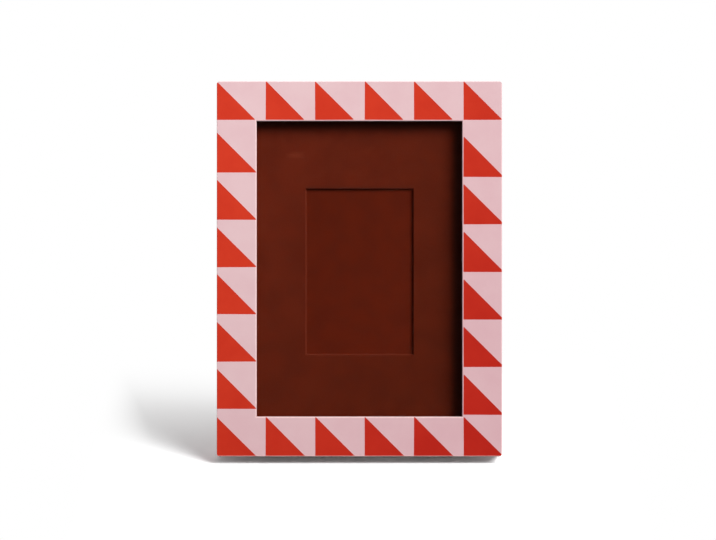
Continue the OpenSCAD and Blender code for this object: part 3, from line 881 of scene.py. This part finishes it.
# %% Finish the mat
MAROON = srgb(114, 37, 18)
MAROON_FIBRE = srgb(119, 43, 24)
MAROON_CORE = srgb(97, 35, 20)
MAROON_PALE_PATCH = srgb(132, 54, 34)
# Painted shade: the mat's colour is multiplied by this towards the lower right.
MAROON_PAINTED_SHADE = (0.71, 0.71, 0.6, 1.0)
MAT_PAINTED_SHADE = {"Start": 0.15, "End": 0.85}
PALE_PATCH_PLACE = (-0.0375, 0.0, 0.1757)
PALE_PATCH_HALF = (0.0055, 1.0, 0.002)
PALE_PATCH_EDGE = (0.2, 1.3)
PALE_PATCH_SHARE = 0.8
OUTER_BORDER = 0.01
JUST_INSIDE = 0.00003
mat_points = points_of("mat_board", LEAN) - frame_foot
mat_middle = (mat_points.min(0) + mat_points.max(0)) / 2
mat_half = (mat_points.max(0) - mat_points.min(0)) / 2
from_mat_middle = np.abs(mat_points - mat_middle)
window_half = from_mat_middle[from_mat_middle[:, 0] < mat_half[0] - OUTER_BORDER].max(0)
print("window across and high in mm:", (2000 * window_half[[0, 2]]).round(2))

mat_paper, tree, shader, position, face_colour = paper("mat paper", MAROON, MAROON_FIBRE)
from_window = parts_of(tree, distances(tree, position, tuple(mat_middle)))
in_width = maths(tree, "LESS_THAN", from_window["X"], window_half[0] - JUST_INSIDE)
in_height = maths(tree, "LESS_THAN", from_window["Z"], window_half[2] - JUST_INSIDE)
core = maths(tree, "MULTIPLY", in_width, in_height)
# Painted shade: the mat is deeper towards its lower right.
face_colour = with_painted_shade(tree, position, face_colour, MAROON_PAINTED_SHADE, MAT_PAINTED_SHADE)
# A faint paler patch at the upper left of the mat.
from_pale_patch = vectors(tree, "DIVIDE", vectors(tree, "SUBTRACT", position, PALE_PATCH_PLACE), PALE_PATCH_HALF)
pale_patch = rest_of(tree, fade(tree, length_of(tree, from_pale_patch), *PALE_PATCH_EDGE))
pale_patch = maths(tree, "MULTIPLY", pale_patch, PALE_PATCH_SHARE)
face_colour = mixed(tree, pale_patch, face_colour, MAROON_PALE_PATCH)
fill(tree, shader, {"Base Color": mixed(tree, core, face_colour, MAROON_CORE)})
dress(["mat_board"], mat_paper)
print("mat finished")

# %% [markdown]
# ### Flat pieces with soft edges
# Glass, lining and leg are flat sheets whose edges aren't sharp. One surface makes all three: rings
# of points that start in the middle of the front, run over the rounded edge and end in the middle of
# the back. The leg's rings are then drawn in towards its narrow top and slanted to meet the table.

# %% Make soft-edged plates
FLAT_SHARES = (0.0, 0.35, 0.7)


def rounded_outline(half_wide, half_high, corner, steps):
    """Points round a rectangle with quarter circles for corners: each centre plus r (cos a, sin a)."""
    turns = np.linspace(0, math.pi / 2, steps + 1)
    arcs = []
    for turn, (sx, sz) in enumerate(((1, 1), (-1, 1), (-1, -1), (1, -1))):
        a = turns + turn * math.pi / 2
        centre = np.array([sx * (half_wide - corner), sz * (half_high - corner)])
        arcs.append(centre + corner * np.stack([np.cos(a), np.sin(a)], -1))
    return np.concatenate(arcs)


def plate_rings(size, corner, edge, steps=5):
    """Rings of a plate round (0, 0, 0), front to back. On its rounded edge of radius e the outline is
    drawn in by e (1 - sin t) at the depth e (1 - cos t), for t up to a quarter turn, and so on the back.
    On each flat it shrinks to the middle: to 1 - 3 e / width first, and then to FLAT_SHARES."""
    outline = rounded_outline(size[0] / 2, size[2] / 2, corner, steps)
    towards = outline / np.abs(outline).max(0)
    t = np.linspace(0, math.pi / 2, steps + 1)
    inset = edge * (1 - np.sin(t))
    deep = edge * (1 - np.cos(t))
    inset = np.concatenate([inset, inset[::-1]])
    deep = np.concatenate([deep, (size[1] - deep)[::-1]]) - size[1] / 2
    skin = outline[None] - inset[:, None, None] * towards[None]
    deep = np.repeat(deep[:, None, None], len(outline), 1)
    skin = np.concatenate([skin[..., :1], deep, skin[..., 1:]], -1)
    share = np.array([*FLAT_SHARES, 1 - 3 * edge / size[0]])[:, None, None]
    flat = np.array([1, 0, 1])
    level = np.array([0, 1, 0])
    front = skin[:1] * flat * share + skin[:1] * level
    back = skin[-1:] * flat * share[::-1] + skin[-1:] * level
    return np.concatenate([front, skin, back])


def closed_surface(name, rings):
    """A mesh of quads between neighbouring rings; an end ring is a single point, and closes as a fan."""
    count, spokes = rings.shape[:2]
    points = np.concatenate([rings[0, :1], rings[1:-1].reshape(-1, 3), rings[-1, :1]])
    here = np.arange(spokes)
    after = (here + 1) % spokes
    last = 1 + spokes * (count - 3)
    first_fan = np.stack([0 * here, 1 + here, 1 + after], -1).tolist()
    last_fan = np.stack([last + after, last + here, 0 * here + last + spokes], -1).tolist()
    made = made_object(name, points, bands_between(count - 2, spokes) + first_fan + last_fan)
    made.data.polygons.foreach_set("use_smooth", np.ones(len(made.data.polygons), bool))
    print(name, "has", len(made.data.polygons), "faces")
    return made


def takes_the_place(piece, node_name, body, material):
    """Gives a piece its material and body, and hides the solid that it stands for."""
    piece.data.materials.append(material)
    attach(piece, body)
    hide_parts(node_name)


print("points round each plate:", len(rounded_outline(1.0, 1.0, 0.1, 5)))

# %% [markdown]
# ### The glass
# The pane is picture glass with ground edges. It lies a hair clear of the mat, as real glass does,
# because two faces in one place would flicker. A shadow ray passes straight through it, so that the
# softbox lights the mat. Light that wanders about the room meets the glass at low angles and is
# partly turned away, so less of it passes, which leaves the dark edge under the top and right of the
# opening. The low index keeps the reflection faint.

# %% Cut the glass
ROOM_PASSED = (0.45, 0.45, 0.45, 1.0)
WIPED_STROKES = (60.0, 60.0, 22.0)
WIPED_FADE = (0.45, 0.7)
GLASS_ROUGH = (0.01, 0.05)
AIR = 0.00003
GLASS_CORNER = 0.001
GLASS_EDGE = 0.0003

glass, tree, shader = finish_for("picture glass")
wiped = fade(tree, noise(tree, own_axes(tree), detail=3.0, squeeze=WIPED_STROKES), *WIPED_FADE)
glass_look = {
    "Base Color": WHITE,
    "Roughness": spread(tree, wiped, 0.0, 1.0, *GLASS_ROUGH),
    "Transmission Weight": 1.0,
    "IOR": 1.06,
}
fill(tree, shader, glass_look)
path = node(tree, "ShaderNodeLightPath").outputs
surface = shader.outputs[0]
for kind, passed in (("Is Shadow Ray", WHITE), ("Is Diffuse Ray", ROOM_PASSED)):
    clear = node(tree, "ShaderNodeBsdfTransparent", {"Color": passed}).outputs[0]
    surface = mixed_shaders(tree, path[kind], surface, clear)
output = [made for made in tree.nodes if made.type == "OUTPUT_MATERIAL"][0]
fill(tree, output, {"Surface": surface})

glass_low, glass_high = corners_of(["glass_pane"], LEAN)
glass_size = glass_high - glass_low - np.array([0, 2 * AIR, 0])
glass_middle = (glass_low + glass_high) / 2
rings = plate_rings(glass_size, GLASS_CORNER, GLASS_EDGE) + glass_middle
picture_glass = closed_surface("picture_glass", stood_up(rings, LEAN))
takes_the_place(picture_glass, "glass_pane", "frame", glass)

# %% [markdown]
# ### Flocked lining and leg
# The back board is lined with maroon flocked paper, and the leg is a board wrapped in the same. Its
# pressed edges are round, and its foot is cut to lie flat on the table. Flock takes a soft sheen at a
# low angle.

# %% Mix the flock and line the back
FLOCK = srgb(84, 30, 24)
FLOCK_BRUSHED = srgb(106, 42, 34)
FLOCK_WORN = srgb(128, 64, 52)
FLOCK_SHEEN = srgb(190, 110, 98)
FLOCK_ROUGH = (1.0, 0.85)
WORN_SHARE = 0.5
PILE_HIGH = 0.00015
LINING_CORNER = 0.0012
LINING_EDGE = 0.00018


def flocked(name, lean, foot, paler_edges=None):
    """Maroon flock in a piece's own axes, with worn edges where their box is given."""
    made, tree, shader = finish_for(name)
    position = own_axes(tree, lean, foot)
    fur = placed(tree, flock, Position=position, Colour=FLOCK, Brushed=FLOCK_BRUSHED)
    colour = fur["Colour"]
    if paler_edges is not None:
        paled = placed(tree, edge_wear, Position=position, **paler_edges)["Mask"]
        colour = mixed(tree, maths(tree, "MULTIPLY", paled, WORN_SHARE), colour, FLOCK_WORN)
    look = {
        "Base Color": colour,
        "Roughness": spread(tree, fur["Height"], *NOISE_SPAN, *FLOCK_ROUGH),
        "Normal": raised(tree, fur["Height"], PILE_HIGH),
        "Specular IOR Level": 0.05,
        "Sheen Weight": 0.25,
        "Sheen Roughness": 0.5,
        "Sheen Tint": FLOCK_SHEEN,
    }
    fill(tree, shader, look)
    return made


lining_low, lining_high = corners_of(["board_lining"], LEAN)
lining_middle = (lining_low + lining_high) / 2
rings = plate_rings(lining_high - lining_low, LINING_CORNER, LINING_EDGE) + lining_middle
flocked_lining = closed_surface("flocked_lining", stood_up(rings, LEAN))
flocked_paper = flocked("flocked paper", LEAN, frame_foot)
takes_the_place(flocked_lining, "board_lining", "frame", flocked_paper)

# %% Make the leg
LEG_CORNER = 0.0015
LEG_EDGE = 0.0009
LEG_WEAR = {"Width": 0.0012, "Ragged": 0.002}
NEAR_TOP = 0.001

leg_points = points_of("easel_leg", LEG_LEAN)
leg_low, leg_high = leg_points.min(0), leg_points.max(0)
leg_size = leg_high - leg_low
top_half = leg_points[leg_points[:, 2] > leg_high[2] - NEAR_TOP, 0].max()
foot_half = leg_points[:, 0].max()
box = plate_rings(leg_size, LEG_CORNER, LEG_EDGE)
up = box[..., 2:] / leg_size[2] + 0.5
wide = box[..., :1] / foot_half * (foot_half + (top_half - foot_half) * up)
deep = box[..., 1:2] + (leg_low[1] + leg_high[1]) / 2
foot_line = deep * math.tan(LEG_LEAN)
high = foot_line + (leg_high[2] - foot_line) * up
leg_rings = stood_up(np.concatenate([wide, deep, high], -1), LEG_LEAN)
flocked_leg = closed_surface("flocked_leg", leg_rings)
leg_middle = tuple((leg_low + leg_high) / 2 - leg_low)
leg_half = (foot_half, leg_size[1] / 2, leg_size[2] / 2)
leg_box = {"Middle": leg_middle, "Half": leg_half, **LEG_WEAR}
leg_flock = flocked("flocked leg", LEG_LEAN, leg_low, leg_box)
takes_the_place(flocked_leg, "easel_leg", "leg", leg_flock)
print("leg's lowest point in mm:", round(1000 * float(leg_rings[..., 2].min()), 3))

# %% [markdown]
# ### The steel parts
# Hinge plates, pin, rivets, screws, turn buttons and the corner fasteners are bright nickel-plated
# steel. Stamped edges are a little round, which the Bevel node gives to the light without moving the
# surface.

# %% Plate the steel
STEEL_PARTS = ["corner_nails", "button_screws", "board_plate", "hinge_pin", "board_rivets"]
LEG_STEEL = ["leg_plate", "leg_rivets"]
BUTTONS = ["upper_left_button", "upper_right_button", "lower_left_button", "lower_right_button"]
STEEL = {"Colour": srgb(196, 193, 186), "Tarnish": srgb(162, 157, 147), "Smooth": 0.28, "Rough": 0.4}
STAMPED_EDGE = 0.00012
LINES_DEEP = 0.000006


def plated_steel(name, lean, foot):
    """Nickel-plated strip in a piece's own axes."""
    made, tree, shader = finish_for(name)
    metal = placed(tree, drawn_metal, Position=own_axes(tree, lean, foot), **STEEL)
    round_edge = node(tree, "ShaderNodeBevel", {"Radius": STAMPED_EDGE}, samples=4).outputs[0]
    look = {
        "Base Color": metal["Colour"],
        "Roughness": metal["Roughness"],
        "Normal": raised(tree, metal["Height"], LINES_DEEP, round_edge),
        "Metallic": 1.0,
    }
    fill(tree, shader, look)
    return made


dress([*STEEL_PARTS, *BUTTONS], plated_steel("nickel-plated steel", LEAN, frame_foot))
dress(LEG_STEEL, plated_steel("nickel-plated leg plate", LEG_LEAN, leg_low))
print("steel parts finished:", len(STEEL_PARTS) + len(BUTTONS) + len(LEG_STEEL))
